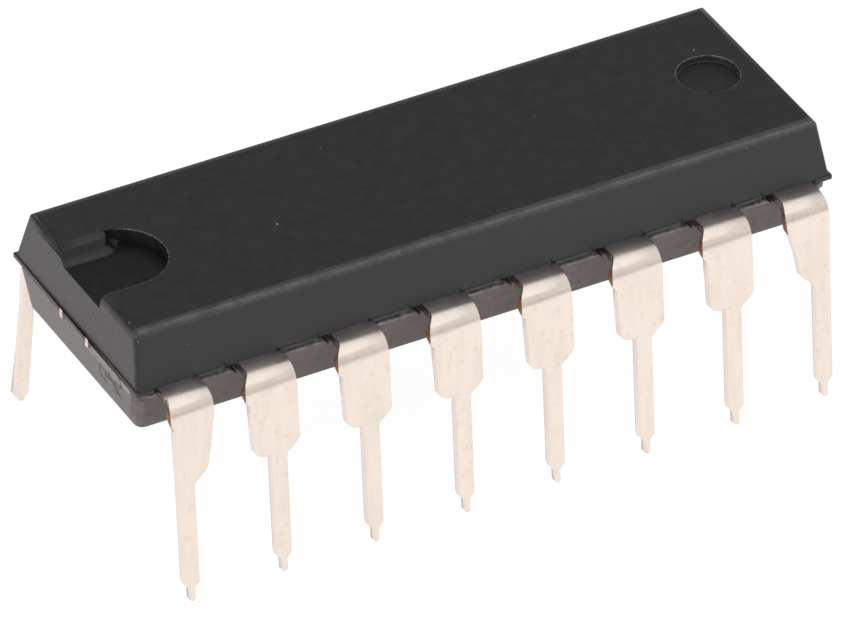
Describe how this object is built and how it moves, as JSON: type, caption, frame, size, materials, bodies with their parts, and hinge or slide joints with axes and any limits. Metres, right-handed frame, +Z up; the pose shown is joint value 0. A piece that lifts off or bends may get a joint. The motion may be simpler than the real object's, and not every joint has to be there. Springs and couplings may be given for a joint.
{
  "type": "dual in-line integrated circuit",
  "caption": "Moulded integrated circuit in a dual in-line package, with two rows of bent leads, a die and bond wires inside.",
  "frame": {"origin": "centre of the footprint, at the height of the lead tips", "axes": "+X runs along the body, away from the notch end; +Z points up, from the lead tips to the top face; leads 1 to 8 are on the -Y side"},
  "size_m": [0.0194, 0.0094, 0.0071],
  "materials": {
    "resin": "moulded black epoxy, matt on top and mottled at the ends and webs",
    "tin": "dull tin plate over a copper alloy strip",
    "copper": "bare copper alloy strip",
    "adhesive": "silver-filled epoxy paste",
    "silicon": "polished silicon",
    "gold": "drawn gold wire"
  },
  "bodies": {
    "root": {"body": "resin", "lead_1": "tin", "lead_2": "tin", "lead_3": "tin", "lead_4": "tin", "lead_5": "tin", "lead_6": "tin", "lead_7": "tin", "lead_8": "tin", "lead_9": "tin", "lead_10": "tin", "lead_11": "tin", "lead_12": "tin", "lead_13": "tin", "lead_14": "tin", "lead_15": "tin", "lead_16": "tin", "die_pad": "copper", "die_attach": "adhesive", "die": "silicon", "bond_wire_1": "gold", "bond_wire_2": "gold", "bond_wire_3": "gold", "bond_wire_4": "gold", "bond_wire_5": "gold", "bond_wire_6": "gold", "bond_wire_7": "gold", "bond_wire_8": "gold", "bond_wire_9": "gold", "bond_wire_10": "gold", "bond_wire_11": "gold", "bond_wire_12": "gold", "bond_wire_13": "gold", "bond_wire_14": "gold", "bond_wire_15": "gold", "bond_wire_16": "gold"}
  },
  "joints": []
}
